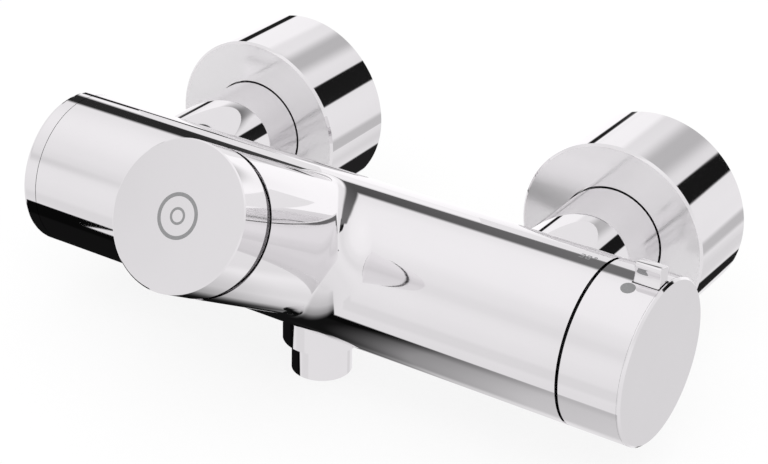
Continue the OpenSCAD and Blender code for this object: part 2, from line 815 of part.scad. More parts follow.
module wall_union(side) {
    color(brass) difference() {
        union() {
            on_inlet(side) translate([0, union_offset, -wall_thread_len])
                cylinder(d = wall_thread_d, h = wall_thread_len + over);
            on_inlet(side) cylinder(d = union_body_d, h = union_body_t);
            on_inlet(side) translate([0, union_offset, 0]) cylinder(d = union_body_d, h = union_body_t);
            on_inlet(side) cylinder(d = union_thread_d, h = union_end);
        }
        on_inlet(side) translate([0, union_offset, -wall_thread_len - over])
            cylinder(d = union_bore_d, h = wall_thread_len + union_body_t / 2 + over);
        on_inlet(side) cylinder(d = union_bore_d, h = union_end + over);
    }
}

module union_nut(side) {
    lip_at = tail_end + tail_collar_t + seat_gap;
    color(brass) difference() {
        on_inlet(side, nut_back) hexagon(nut_flats, nut_len);
        on_inlet(side, nut_back - over)
            cylinder(d = union_thread_d + 2 * seat_gap, h = lip_at - nut_back + over);
        on_inlet(side, lip_at - over) cylinder(d = tail_d + 4 * seat_gap, h = nut_lip + 2 * over);
    }
}

module strainer_washer(side) {
    color(dark_plastic) on_inlet(side, union_end) {
        tube(tail_collar_d / 2, union_bore_d / 2, washer_t);
        difference() {
            cylinder(d = union_bore_d + seat_gap, h = washer_t / 2);
            for (ring = [0:strainer_rings]) for (k = [0:max(1, hex_sides * ring) - 1])
                rotate([0, 0, 360 * k / max(1, hex_sides * ring)])
                    translate([strainer_pitch * ring, 0, -over])
                        cylinder(d = strainer_hole_d, h = washer_t + 2 * over);
        }
    }
}

// Check valves in the two inlets

module check_sleeve(side) {
    hole_at = (check_inner_r + poppet_stem_d / 2) / 2;
    color(plastic) on_inlet(side) difference() {
        translate([0, 0, check_back]) cylinder(r = check_r, h = check_len);
        translate([0, 0, check_back + check_web])
            cylinder(r = check_inner_r, h = check_len - 2 * check_web);
        translate([0, 0, check_back - over]) cylinder(d = check_seat_d, h = check_web + 2 * over);
        translate([0, 0, check_guide - over])
            cylinder(d = poppet_stem_d + 2 * run_gap, h = check_web + 2 * over);
        for (a = [0:360 / check_holes:359])
            rotate([0, 0, a]) translate([hole_at, 0, check_guide - over])
                cylinder(d = check_hole_d, h = check_web + 2 * over);
    }
}

module poppet(side) {
    color(dark_plastic) union() {
        on_inlet(side, poppet_back) cylinder(d = poppet_d, h = poppet_t);
        on_inlet(side, poppet_back) cylinder(d = poppet_stem_d, h = inlet_stop - poppet_back + over);
    }
}

module check_spring(side) {
    length = check_guide - poppet_front - 2 * seat_gap;
    color(steel) on_inlet(side, poppet_front + seat_gap)
        coil(poppet_d / 2 - 2 * check_wire, check_wire, length, check_spring_turns);
}

// The thermostatic cartridge

module keys(r, x, length, gap) {
    w = key_w + 2 * gap;
    for (side = [-1, 1]) translate([x, -wall_to_axis - w / 2, side == 1 ? 0 : -r])
        cube([length, w, r]);
}

module cartridge_sleeve() {
    plug_x = head_x + cart_head - head_plug;
    color(plastic) difference() {
        on_bar(cart_x0) cylinder(r = cart_r, h = head_x + head_plug - cart_x0);
        on_bar(cart_x0 + cart_shoulder) cylinder(r = cart_inner_r, h = head_x - cart_x0);
        on_bar(head_x) cylinder(r = head_plug_r + seat_gap, h = head_plug + over);
        on_bar(cart_x0 - over) cylinder(r = shoulder_hole_r, h = cart_shoulder + 2 * over);
        keys(keyway_r, keyway_x, plug_x - keyway_x, seat_gap);
        for (x = cart_seal_x) on_bar(x) cord_groove(cart_r, cart_seal_t);
        channel(hot_port_x, hot_channel);
        channel(cold_port_x, cold_channel);
        for (x = [hot_port_x, cold_port_x]) on_bar(x) for (k = [0:port_count - 1])
            rotate([0, 0, 360 * (k + port_phase_share) / port_count]) rotate([0, 90, 0])
                translate([0, 0, cart_inner_r - over]) cylinder(d = port_d, h = cart_wall + 2 * over);
    }
}

// A channel round the sleeve that spreads the water over one row of ports
module channel(x, width) {
    on_bar(x - width / 2) tube(cart_r + over, cart_r - channel_depth, width);
}

module cartridge_head() {
    color(plastic) difference() {
        union() {
            on_bar(head_x + head_plug) cylinder(r = cart_r, h = cart_head - head_plug);
            on_bar(head_x) cylinder(r = head_plug_r, h = cart_head);
        }
        on_bar(head_x - over) cylinder(r = spindle_r + run_gap, h = cart_head + 2 * over);
        on_bar(spindle_seal_x - spindle_seal_t / 2 - seat_gap)
            cylinder(r = spindle_r + run_gap + spindle_seal_t + seat_gap, h = spindle_seal_t + 2 * seat_gap);
    }
}

module spindle_seal() {
    color(rubber) on_bar(spindle_seal_x)
        cord_ring(spindle_r + run_gap + spindle_seal_t / 2, spindle_seal_t);
}

module cartridge_seals() {
    color(rubber) for (x = cart_seal_x) on_bar(x) cord_ring(cart_seal_mean, cart_seal_t);
}

module cartridge_nut() {
    color(brass) difference() {
        on_bar(cart_x1) cylinder(r = cart_r, h = nose_x - nut_depth - cart_x1);
        on_bar(cart_x1 - over) hexagon(key_flats, nose_x - cart_x1 + 2 * over);
    }
}

module control_spool() {
    hole_at = (spool_inner_r + return_spring_r + return_wire / 2) / 2;
    color(plastic) difference() {
        on_bar(spool_mid - spool_half) cylinder(r = spool_r, h = 2 * spool_half);
        on_bar(spool_mid - spool_half - over)
            cylinder(r = spool_inner_r, h = spool_half - spool_web / 2 + over);
        on_bar(web_x1) cylinder(r = spool_inner_r, h = spool_half);
        on_bar(web_x0 - over) cylinder(r = wax_r + seat_gap, h = spool_web + 2 * over);
        for (a = [0:360 / web_holes:359]) on_bar(web_x0 - over) rotate([0, 0, a])
            translate([hole_at, 0, 0]) cylinder(d = web_hole_d, h = spool_web + 2 * over);
    }
}

module wax_element() {
    back_x = web_x1 + wax_flange_t + wax_back;
    color(brass) union() {
        on_bar(web_x0 - wax_front) cylinder(r = wax_r, h = back_x - web_x0 + wax_front);
        on_bar(web_x1) cylinder(r = wax_flange_r, h = wax_flange_t);
        on_bar(back_x - over) cylinder(d = wax_pin_d, h = follower_x0 - back_x + over);
    }
}

module return_spring() {
    x0 = cart_x0 + cart_shoulder + seat_gap;
    color(steel) on_bar(x0) coil(return_spring_r, return_wire, web_x0 - x0 - seat_gap, return_turns);
}

module element_spring() {
    x0 = web_x1 + wax_flange_t + seat_gap;
    color(steel) on_bar(x0)
        coil(element_spring_r, element_wire, follower_x0 - x0 - seat_gap, element_turns);
}

module follower() {
    color(brass) difference() {
        union() {
            on_bar(follower_x0) cylinder(r = cart_inner_r - run_gap, h = follower_len);
            keys(cart_inner_r + key_h, key_x, key_len, 0);
        }
        on_bar(follower_x1 - follower_bore)
            cylinder(r = spindle_r + free_gap, h = follower_bore + over);
    }
}

// A spline's outline: teeth of equal width round a circle
function spline_corners(tooth) = [
    [spline_shares[0], 0], [spline_shares[1], tooth], [spline_shares[2], tooth], [spline_shares[3], 0]
];

function spline_outline(tip_r, tooth) = [
    for (k = [0:spline_teeth - 1]) for (c = spline_corners(tooth))
        let (a = 360 * (k + c[0]) / spline_teeth, r = tip_r - tooth + c[1])
        [r * cos(a), r * sin(a)]
];

module spindle() {
    thread_x = follower_x1 - follower_bore + spindle_clear;
    color(brass) difference() {
        union() {
            on_bar(thread_x) cylinder(r = spindle_r, h = spline_x0 - thread_x);
            on_bar(collar_x0) cylinder(d = spindle_collar_d, h = spindle_collar_t);
            on_bar(spline_x0 - over) linear_extrude(spline_x1 - spline_x0 + over)
                polygon(spline_outline(spline_d / 2, spline_tooth));
        }
        on_bar(spline_x1 - hub_screw_len - over) cylinder(d = hub_screw_d + 2 * seat_gap, h = hub_screw_len + 2 * over);
    }
}

module stop_ring() {
    ring_x = nose_x - stop_ring_t - seat_gap;
    ring_r = nose_r + seat_gap;
    lug_h = stop_ring_t + stop_lug_len;
    color(dark_plastic) union() {
        on_bar(ring_x) tube(ring_r + stop_ring_wall, ring_r, stop_ring_t);
        on_bar(ring_x) intersection() {
            tube(lug_outer, lug_inner, lug_h);
            stop_lug_sector(lug_h);
        }
    }
}

// A wedge that starts beyond the pawl, on the side towards the user
module stop_lug_sector(h) {
    far = bar_d;
    linear_extrude(h) polygon([
        [0, 0],
        [-far * cos(lug_start), -far * sin(lug_start)],
        [-far * cos(lug_start + stop_lug_arc), -far * sin(lug_start + stop_lug_arc)]
    ]);
}

// The temperature handle

// The room that the stop button needs in the handle's wall and in the cover's ring
module stop_slot() {
    translate([stop_x0 - free_gap, stop_y0 - free_gap, slot_bottom])
        cube([handle_len, stop_w + 2 * free_gap, bar_r]);
}

module pawl_way(x, length) {
    way_w = pawl_w + 2 * free_gap;
    translate([x, -wall_to_axis - stop_off - way_w / 2, pawl_bottom - stop_press - free_gap])
        cube([length, way_w, bar_r]);
}

module temperature_handle() {
    length = cover_x - handle_x0 - seat_gap;
    color(chrome) difference() {
        on_bar(handle_x0) rotate_extrude() polygon([
            [handle_inner_r, 0], [bar_r - rim_bevel, 0], [bar_r, rim_bevel], [bar_r, length],
            [handle_bore_r, length], [handle_bore_r, hub_at - seat_gap],
            [handle_inner_r, hub_at - seat_gap]
        ]);
        stop_slot();
    }
}

// The cover hides the hub's screw, and the ring behind it holds the hub in the handle
module handle_cover() {
    ring_x = hub_x1 + seat_gap;
    color(chrome) union() {
        on_bar(cover_x) rotate_extrude() polygon([
            [0, 0], [bar_r, 0], [bar_r, cover_t - handle_bevel],
            [bar_r - handle_bevel, cover_t], [0, cover_t]
        ]);
        difference() {
            on_bar(ring_x) tube(hub_disc_r, hub_disc_r - cover_wall, cover_x - ring_x + cover_t / 2);
            stop_slot();
            pawl_way(ring_x - over, stop_x0 - ring_x + over);
        }
    }
}

module handle_hub() {
    tube_x = spline_x0 + free_gap;
    color(plastic) difference() {
        union() {
            on_bar(tube_x) cylinder(d = hub_tube_d, h = hub_web_x + hub_web - tube_x);
            on_bar(hub_x0) cylinder(r = hub_disc_r, h = hub_disc_t);
            on_bar(hub_x1 - over) tube(drum_d / 2, drum_d / 2 - drum_wall, drum_x1 - hub_x1 + over);
        }
        on_bar(hub_web_x) mirror([0, 0, 1]) linear_extrude(spline_len + over)
            polygon(spline_outline(spline_d / 2 + seat_gap, spline_tooth));
        on_bar(hub_web_x - over) cylinder(d = hub_screw_d + 2 * seat_gap, h = hub_web + 2 * over);
        pawl_way(hub_x0 - over, hub_disc_t + 2 * over);
    }
}

module hub_screw() {
    color(steel) difference() {
        union() {
            on_bar(hub_head_x) cylinder(d = hub_head_d, h = hub_head_t);
            on_bar(spline_x1 - hub_screw_len) cylinder(d = hub_screw_d, h = hub_head_x - spline_x1 + hub_screw_len + over);
        }
        on_bar(hub_head_x + hub_head_t * (1 - key_depth_share)) hexagon(hub_head_d * key_share, hub_head_t);
    }
}

// The stop button's end view: rounded along the top, scooped in front and behind
function stop_side(side) = [
    for (k = [0:scoop_points])
        let (f = k / scoop_points, z = bar_r + f * (stop_rise - stop_round))
        [side * (stop_w / 2 - stop_scoop * sin(180 * f)), z]
];

function stop_crown() =
    let (w = stop_w / 2 - stop_round)
    concat(
        [for (a = [0:15:90]) [w + stop_round * cos(a), stop_top - stop_round + stop_round * sin(a)]],
        [for (a = [90:15:180]) [-w + stop_round * cos(a), stop_top - stop_round + stop_round * sin(a)]]
    );

module stop_button() {
    profile = concat(
        [[-stop_w / 2, stop_bottom], [stop_w / 2, stop_bottom]],
        stop_side(1),
        stop_crown(),
        [for (k = [scoop_points:-1:0]) stop_side(-1)[k]]
    );
    color(chrome) union() {
        translate([stop_x0, -wall_to_axis - stop_off, 0]) rotate([90, 0, 90])
            linear_extrude(stop_len) polygon(profile);
        translate([pawl_x0, -wall_to_axis - stop_off - pawl_w / 2, pawl_bottom])
            cube([stop_x0 - pawl_x0 + over, pawl_w, pawl_t]);
    }
}

module stop_button_spring() {
    seat = drum_d / 2 + seat_gap;
    color(steel) translate([(stop_x0 + drum_x1) / 2, -wall_to_axis - stop_off, seat])
        coil(stop_spring_d / 2, stop_wire, stop_bottom - seat - seat_gap, stop_turns);
}

// The push button and its guide

module push_button() {
    color(chrome) on_neck(button_rim) rotate_extrude() polygon([
        [button_inner_r, 0], [neck_r, 0], [neck_r, button_h - button_bevel],
        [neck_r - button_bevel, button_h], [0, button_h], [0, button_h - button_face_t],
        [button_inner_r, button_h - button_face_t]
    ]);
}

module button_stem() {
    stem_h = piston_top + seat_gap;
    color(brass) union() {
        on_neck(stem_h) cylinder(r = stem_r, h = button_floor - stem_h);
        on_neck(stem_h - stem_end_len) cylinder(d = stem_end_d, h = stem_end_len + over);
        on_neck(button_floor - stem_head_t) cylinder(d = stem_head_d, h = stem_head_t);
    }
}

module button_guide() {
    color(chrome) difference() {
        union() {
            on_neck(timing_top) cylinder(r = timing_r, h = guide_top - timing_top);
            on_neck(neck_h) cylinder(r = guide_r, h = guide_top - neck_h);
        }
        on_neck(timing_top - over) cylinder(d = guide_bore_d, h = guide_top - timing_top + 2 * over);
    }
}

// The timing cartridge. Its piston is pushed down at once and rises slowly, because the water
// above it has to leave through the bleed hole. The valve washer then closes against the seat.

module timing_cartridge() {
    groove_r = stem_r + run_gap + stem_seal_t + seat_gap;
    color(plastic) difference() {
        on_neck(ledge_h) cylinder(r = timing_r, h = timing_len);
        on_neck(ledge_h - over) cylinder(r = timing_inner_r, h = timing_ceiling - ledge_h + over);
        on_neck(timing_ceiling - over) cylinder(r = stem_r + run_gap, h = timing_cover + 2 * over);
        on_neck(stem_seal_h - stem_seal_t / 2 - seat_gap)
            cylinder(r = groove_r, h = stem_seal_t + 2 * seat_gap);
        for (h = timing_seal_h) on_neck(h) cord_groove(timing_r, timing_seal_t);
    }
}

module timing_seals() {
    color(rubber) for (h = timing_seal_h) on_neck(h) cord_ring(timing_r - timing_seal_t / 2, timing_seal_t);
}

module stem_seal() {
    color(rubber) on_neck(stem_seal_h) cord_ring(stem_seal_mean, stem_seal_t);
}

module timing_piston() {
    color(brass) difference() {
        union() {
            on_neck(piston_head) cylinder(r = piston_r, h = piston_t);
            on_neck(piston_head - piston_skirt)
                tube(piston_r, piston_r - piston_wall, piston_skirt + over);
            on_neck(rod_h0) cylinder(r = rod_r, h = piston_head - rod_h0 + over);
        }
        on_neck(piston_top - stem_end_len - free_gap)
            cylinder(d = stem_end_d + 2 * seat_gap, h = stem_end_len + over);
        on_neck(piston_head - over) translate([(rod_r + piston_r) / 2, 0, 0])
            cylinder(d = bleed_d, h = piston_t + 2 * over);
        on_neck(piston_seal_h) cord_groove(piston_r, piston_seal_t);
    }
}

module piston_seal() {
    color(rubber) on_neck(piston_seal_h) cord_ring(piston_r - piston_seal_t / 2, piston_seal_t);
}

module valve_seat() {
    color(brass) on_neck(seat_h) tube(seat_d / 2, seat_bore_d / 2, seat_t);
}

module valve_washer() {
    color(rubber) on_neck(washer_h0) tube(valve_washer_d / 2, rod_r + seat_gap, valve_washer_t);
}

module valve_disc() {
    color(brass) on_neck(disc_h0) tube(valve_disc_d / 2, rod_r + seat_gap, valve_disc_t);
}

module timing_spring() {
    length = piston_head - seat_top - 2 * seat_gap;
    color(steel) on_neck(seat_top + seat_gap)
        coil(timing_spring_d / 2, timing_wire, length, timing_turns);
}

valve_body();
end_cap();
end_cap_seal();
outlet_nipple();
outlet_seal();
rosette(-1);  // hot_rosette
rosette(1);  // cold_rosette
grip_ring(-1);  // hot_grip_ring
grip_ring(1);  // cold_grip_ring
wall_union(-1);  // hot_wall_union
wall_union(1);  // cold_wall_union
union_nut(-1);  // hot_union_nut
union_nut(1);  // cold_union_nut
strainer_washer(-1);  // hot_strainer_washer
strainer_washer(1);  // cold_strainer_washer
check_sleeve(-1);  // hot_check_sleeve
check_sleeve(1);  // cold_check_sleeve
poppet(-1);  // hot_poppet
poppet(1);  // cold_poppet
check_spring(-1);  // hot_check_spring
check_spring(1);  // cold_check_spring
cartridge_sleeve();
cartridge_head();
cartridge_seals();
spindle_seal();
cartridge_nut();
control_spool();
wax_element();
return_spring();
element_spring();
follower();
spindle();
stop_ring();
temperature_handle();
handle_hub();
handle_cover();
hub_screw();
stop_button();
stop_button_spring();
push_button();
button_stem();
button_guide();
timing_cartridge();
timing_seals();
stem_seal();
timing_piston();
piston_seal();
valve_seat();
valve_washer();
valve_disc();
timing_spring();
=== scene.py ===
import math

import bmesh
import bpy
from mathutils import Matrix, Vector


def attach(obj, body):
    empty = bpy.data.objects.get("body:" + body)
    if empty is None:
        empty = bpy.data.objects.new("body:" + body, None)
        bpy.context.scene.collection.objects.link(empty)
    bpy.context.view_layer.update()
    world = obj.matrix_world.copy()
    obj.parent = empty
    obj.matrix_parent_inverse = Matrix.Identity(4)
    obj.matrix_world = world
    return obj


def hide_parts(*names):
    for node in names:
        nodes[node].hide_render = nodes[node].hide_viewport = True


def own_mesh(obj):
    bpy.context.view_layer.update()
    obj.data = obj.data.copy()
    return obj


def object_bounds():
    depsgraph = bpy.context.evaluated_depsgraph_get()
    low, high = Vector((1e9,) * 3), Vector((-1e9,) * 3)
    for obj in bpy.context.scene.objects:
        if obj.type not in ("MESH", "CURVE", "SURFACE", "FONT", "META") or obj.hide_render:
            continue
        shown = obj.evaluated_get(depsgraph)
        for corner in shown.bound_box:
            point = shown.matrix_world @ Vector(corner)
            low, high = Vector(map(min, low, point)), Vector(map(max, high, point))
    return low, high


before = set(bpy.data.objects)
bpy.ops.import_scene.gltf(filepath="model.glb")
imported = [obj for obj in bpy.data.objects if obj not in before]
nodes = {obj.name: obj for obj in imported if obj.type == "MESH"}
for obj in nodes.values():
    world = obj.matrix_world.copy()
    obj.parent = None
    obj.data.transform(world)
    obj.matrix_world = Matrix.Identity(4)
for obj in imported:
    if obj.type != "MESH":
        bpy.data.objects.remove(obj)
cad_low, cad_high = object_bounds()
scene = bpy.context.scene
MM = 0.001

# The bar's axis and radius, the radii of the neck and of the ball that rolls round its foot
BAR_Y, BAR_R, NECK_R, BALL_R = -0.0965, 0.0275, 0.0237, 0.010
# The neck leans this far from upright towards the front
TILT = math.radians(60)
NECK_WAY = (0, -math.sin(TILT), math.cos(TILT))


def add_object(name, data):
    made = bpy.data.objects.new(name, data)
    scene.collection.objects.link(made)
    return made


# ---------- camera ----------

def make_camera():
    """The camera as solved from the photograph's outlines."""
    data = bpy.data.cameras.new("camera")
    data.sensor_width = 36
    data.lens = 96.31
    data.shift_x = -0.00234
    data.shift_y = 0.00065
    data.clip_start = 0.01
    data.clip_end = 20
    camera = add_object("camera", data)
    place = (0.3459, -0.5976, 0.3252)
    back = Vector((0.4781, -0.7461, 0.4635)).normalized()
    right = Vector((0.8419, 0.5396, 0.0)).normalized()
    up = back.cross(right).normalized()
    roll = math.radians(1.60)
    side = right * math.cos(roll) + up * math.sin(roll)
    top = up * math.cos(roll) - right * math.sin(roll)
    turn = Matrix((side, top, back)).transposed().to_4x4()
    camera.matrix_world = Matrix.Translation(place) @ turn
    scene.camera = camera


# ---------- node graphs ----------

# Chrome gives back this share of the light, so the studio is brighter by as much
CHROME_SHARE = 0.86
# The tables' percentages are what a screen shows, about this root of the light
SCREEN_ROOT = 2.24
STUDIO_TINT = (1, 0.985, 1, 1)
WHITE = (1, 1, 1, 1)


class Graph:
    """Short calls for a shader's or a world's nodes."""

    def __init__(self, tree):
        self.tree = tree
        tree.nodes.clear()

    def node(self, kind, **values):
        made = self.tree.nodes.new(kind)
        for name, value in values.items():
            setattr(made, name, value)
        return made

    def feed(self, socket, value):
        if isinstance(value, bpy.types.NodeSocket):
            self.tree.links.new(value, socket)
        else:
            socket.default_value = value

    def math(self, operation, *values):
        made = self.node("ShaderNodeMath", operation=operation)
        for socket, value in zip(made.inputs, values):
            self.feed(socket, value)
        return made.outputs[0]

    def product(self, first, *others):
        for other in others:
            first = self.math("MULTIPLY", first, other)
        return first

    def step(self, value, start, end, low=0.0, high=1.0, kind="SMOOTHSTEP"):
        """From low at start to high at end."""
        made = self.node("ShaderNodeMapRange", interpolation_type=kind)
        for socket, given in zip(made.inputs, (value, start, end, low, high)):
            self.feed(socket, given)
        return made.outputs[0]

    def fall(self, value, start, end):
        """From 1 at start to 0 at end."""
        return self.step(value, start, end, 1.0, 0.0)

    def split(self, vector):
        """The x, y and z of a vector."""
        made = self.node("ShaderNodeSeparateXYZ")
        self.feed(made.inputs[0], vector)
        return made.outputs

    def mix(self, share, first, second):
        """Two colours mixed."""
        made = self.node("ShaderNodeMix", data_type="RGBA")
        self.feed(made.inputs[0], share)
        self.feed(made.inputs[6], first)
        self.feed(made.inputs[7], second)
        return made.outputs[2]

    def mix_values(self, share, first, second):
        made = self.node("ShaderNodeMix", data_type="FLOAT")
        self.feed(made.inputs[0], share)
        self.feed(made.inputs[2], first)
        self.feed(made.inputs[3], second)
        return made.outputs[0]

    def mix_shaders(self, share, first, second):
        made = self.node("ShaderNodeMixShader")
        for socket, given in zip(made.inputs, (share, first, second)):
            self.feed(socket, given)
        return made.outputs[0]

    def emit(self, kind, colour, strength):
        """Light from a surface (ShaderNodeEmission) or from the world (ShaderNodeBackground)."""
        made = self.node(kind)
        made.inputs["Color"].default_value = colour
        self.feed(made.inputs["Strength"], strength)
        return made.outputs[0]

    def curve(self, value, points, low, high):
        """Straight lines through points (place from low to high, result from -100 to 100)."""
        limit = 100.0
        share = self.step(value, low, high, kind="LINEAR")
        ramp = self.node("ShaderNodeValToRGB")
        ramp.color_ramp.interpolation = "LINEAR"
        stops = ramp.color_ramp.elements
        while len(stops) < len(points):
            stops.new(0.5)
        # places first and colours after them, since a stop that is moved can change its rank
        for stop, (at, result) in zip(stops, points):
            stop.position = (at - low) / (high - low)
        for stop, (at, result) in zip(stops, points):
            grey = (result + limit) / (2 * limit)
            stop.color = (grey, grey, grey, 1)
        self.feed(ramp.inputs[0], share)
        return self.math("MULTIPLY_ADD", ramp.outputs[0], 2 * limit, -limit)

    def studio_strength(self, percent):
        """The strength of a light that chrome shows at this percent of white."""
        shown = self.math("POWER", self.math("DIVIDE", percent, 100.0), SCREEN_ROOT)
        return self.math("DIVIDE", shown, CHROME_SHARE)

    def noise(self, scale, detail, rough, place):
        made = self.node("ShaderNodeTexNoise")
        made.inputs["Scale"].default_value = scale
        made.inputs["Detail"].default_value = detail
        made.inputs["Roughness"].default_value = rough
        self.feed(made.inputs["Vector"], place)
        return made.outputs["Fac"]

    def output(self, kind, shader):
        self.feed(self.node(kind).inputs[0], shader)


def new_material(name):
    made = bpy.data.materials.new(name)
    made.use_nodes = True
    return made, Graph(made.node_tree)


def studio_light(value):
    """The strength of a light that chrome shows at this share of white."""
    light = value / 12.92 if value <= 0.04045 else ((value + 0.055) / 1.055) ** 2.4
    return light / CHROME_SHARE


# ---------- light ----------

# What reflections show of the studio, placed in degrees: azimuth from the front towards the right end,
# and height. The tables were fitted to what the photograph's polished metal shows.
# Walls: (height, percent of white)
WALLS = (
    (-90, 88), (-72, 83), (-60, 85), (-50, 87), (-34, 88), (-20, 88), (0, 90), (9, 90),
    (15, 89), (21, 87), (27, 87), (34, 89), (42, 90), (54, 93), (90, 95),
)
# Soft patches: from, to and edge in azimuth, from, to and edge in height, percent of white
PATCHES = (
    (294, 320, 9, 16, 23, 7, 80),
    (150, 206, 10, -14, 3, 5, 97),
    (314, 342, 6, -35, -21, 6, 85),
    (205, 224, 7, -33, 11, 9, 98),
    (203, 222, 5, 12, 33, 5, 95),
    (165, 187, 14, 28, 46, 8, 71),
    (150, 168, 8, -36, -25, 6, 83),
)
# Panels: softness of the lower and the upper edge, then rows of azimuth, lower edge, upper edge
# and percent of white
PANELS = (
    (2, 2, ((213, 4, 8, 14), (216, 4, 9, 14), (219, 4, 11, 14), (225, 3, 12, 14))),
    (2, 2, (
        (164, -46, -36, 15), (170, -46, -35, 15), (174, -46, -33, 15),
        (183, -46, -33, 15), (188, -46, -36, 15), (204, -46, -36, 15),
    )),
    (4, 5, ((132, -28, -19, 73), (144, -25, -16, 73), (150, -22, -13, 73), (157, -20, -11, 73))),
    (2, 2, ((137, 13, 25, 16), (143, 13, 29, 13), (149, 13, 29, 12), (157, 13, 25, 12))),
)
# Softness of a panel's left and right ends
PANEL_ENDS = 3
# Brightness of the low card along the bar: (x in mm, percent of white)
LOW_CARD = ((-420, 10), (-105, 10), (-60, 55), (0, 75), (150, 88))


def between(g, value, low, high, low_edge, high_edge):
    """1 from low to high, with soft edges that lie over both limits."""
    up = g.step(g.math("SUBTRACT", value, low), -low_edge / 2, low_edge / 2)
    down = g.fall(g.math("SUBTRACT", value, high), -high_edge / 2, high_edge / 2)
    return g.product(up, down)


def make_world():
    """Plain white, and the studio for glossy rays."""
    world = bpy.data.worlds.new("studio")
    scene.world = world
    world.use_nodes = True
    g = Graph(world.node_tree)
    x, y, z = g.split(g.node("ShaderNodeTexCoord").outputs["Generated"])
    turn = g.math("ARCTAN2", x, g.math("MULTIPLY", y, -1.0))
    azimuth = g.math("WRAP", g.math("DEGREES", turn), 360.0, 0.0)
    height = g.math("DEGREES", g.math("ARCSINE", z))
    light = g.curve(height, WALLS, -90, 90)
    for left, right, side_edge, foot, top, level_edge, percent in PATCHES:
        across = between(g, azimuth, left, right, side_edge, side_edge)
        along = between(g, height, foot, top, level_edge, level_edge)
        light = g.mix_values(g.product(across, along), light, float(percent))
    for low_edge, high_edge, rows in PANELS:
        first, last = rows[0][0], rows[-1][0]
        low, high, percent = (
            g.curve(azimuth, [(row[0], row[k]) for row in rows], first, last) for k in (1, 2, 3)
        )
        across = between(g, azimuth, first, last, PANEL_ENDS, PANEL_ENDS)
        along = between(g, height, low, high, low_edge, high_edge)
        light = g.mix_values(g.product(across, along), light, percent)
    rays = g.node("ShaderNodeLightPath")
    plain = g.emit("ShaderNodeBackground", WHITE, 1.0)
    studio = g.emit("ShaderNodeBackground", STUDIO_TINT, g.studio_strength(light))
    g.output("ShaderNodeOutputWorld", g.mix_shaders(rays.outputs["Is Glossy Ray"], plain, studio))


def make_floor():
    """White paper just under the valve. It keeps the shadow, and no reflection shows it."""
    half, gap = 6.0, 0.0002
    # how much of its white the camera gets without any shadow
    even = 0.82
    level = cad_low.z - gap
    corners = ((-half, -half, level), (half, -half, level), (half, half, level), (-half, half, level))
    mesh = bpy.data.meshes.new("floor")
    mesh.from_pydata(corners, [], [(0, 1, 2, 3)])
    floor = add_object("floor", mesh)
    made, g = new_material("floor")
    rays = g.node("ShaderNodeLightPath")
    paper = g.node("ShaderNodeBsdfDiffuse")
    paper.inputs["Color"].default_value = (0.96, 0.96, 0.96, 1)
    white = g.emit("ShaderNodeEmission", WHITE, 1.0)
    share = g.math("MULTIPLY", rays.outputs["Is Camera Ray"], even)
    both = g.mix_shaders(share, paper.outputs[0], white)
    # from below the floor is clear, so that it hides nothing
    behind = g.node("ShaderNodeNewGeometry").outputs["Backfacing"]
    clear = g.node("ShaderNodeBsdfTransparent").outputs[0]
    g.output("ShaderNodeOutputMaterial", g.mix_shaders(behind, both, clear))
    mesh.materials.append(made)
    floor.visible_glossy = False


def add_card(name, corners, faces, paint):
    """A card that only reflections show. paint(g, x, y, z) gives its cover (None: whole) and its strength."""
    mesh = bpy.data.meshes.new(name)
    mesh.from_pydata(corners, [], faces)
    card = add_object(name, mesh)
    made, g = new_material(name)
    share, strength = paint(g, *g.split(g.node("ShaderNodeTexCoord").outputs["Object"]))
    shader = g.emit("ShaderNodeEmission", STUDIO_TINT, strength)
    if share is not None:
        shader = g.mix_shaders(share, g.node("ShaderNodeBsdfTransparent").outputs[0], shader)
    g.output("ShaderNodeOutputMaterial", shader)
    mesh.materials.append(made)
    card.visible_camera = False
    card.visible_diffuse = False
    card.visible_shadow = False


def make_card():
    """A long dark card with soft edges, upright just behind the wall's plane."""
    wide, tall = 24, 6
    left, right, low, high, back = -0.36, 0.13, 0.055, 0.165, 0.004
    corners = [
        (left + (right - left) * c / wide, back, low + (high - low) * r / tall)
        for r in range(tall + 1) for c in range(wide + 1)
    ]
    starts = [r * (wide + 1) + c for r in range(tall) for c in range(wide)]
    faces = [(k, k + 1, k + wide + 2, k + wide + 1) for k in starts]

    def paint(g, x, y, z):
        # soft along the foot, the top, the right end and the left end
        share = g.product(
            g.step(z, 0.061, 0.077), g.fall(z, 0.126, 0.152), g.fall(x, 0.092, 0.106), g.step(x, -0.34, -0.28)
        )
        return share, g.step(x, -0.14, 0.05, studio_light(0.16), studio_light(0.42), "LINEAR")

    add_card("card", corners, faces, paint)


